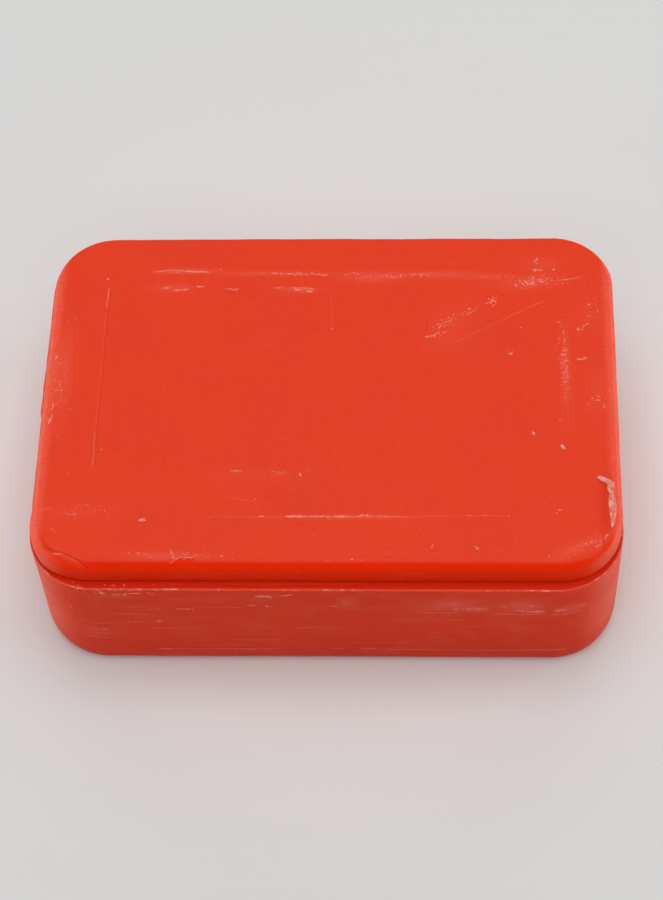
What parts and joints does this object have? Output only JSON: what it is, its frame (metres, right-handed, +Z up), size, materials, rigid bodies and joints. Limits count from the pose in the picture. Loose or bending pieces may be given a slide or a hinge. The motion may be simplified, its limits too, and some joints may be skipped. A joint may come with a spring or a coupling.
{
  "type": "clay bar",
  "caption": "Solid soft detailing clay bar in waxy red, a rounded rectangular block with a slightly inset upper slab, a narrow ledge round it and scuffed faces.",
  "frame": {"origin": "middle of the underside of the lower block", "axes": "+X along the length to the right, +Y from the front to the back, +Z up from the face that the bar rests on"},
  "size_m": [0.085, 0.0604, 0.0269],
  "materials": {
    "slab_clay": "waxy satin",
    "block_clay": "dull, bloomed",
    "shaved_clay": "matte"
  },
  "bodies": {
    "root": {"lower_block": "block_clay", "upper_slab": "slab_clay", "edge_flake": "shaved_clay", "crumbs": "shaved_clay"}
  },
  "joints": []
}
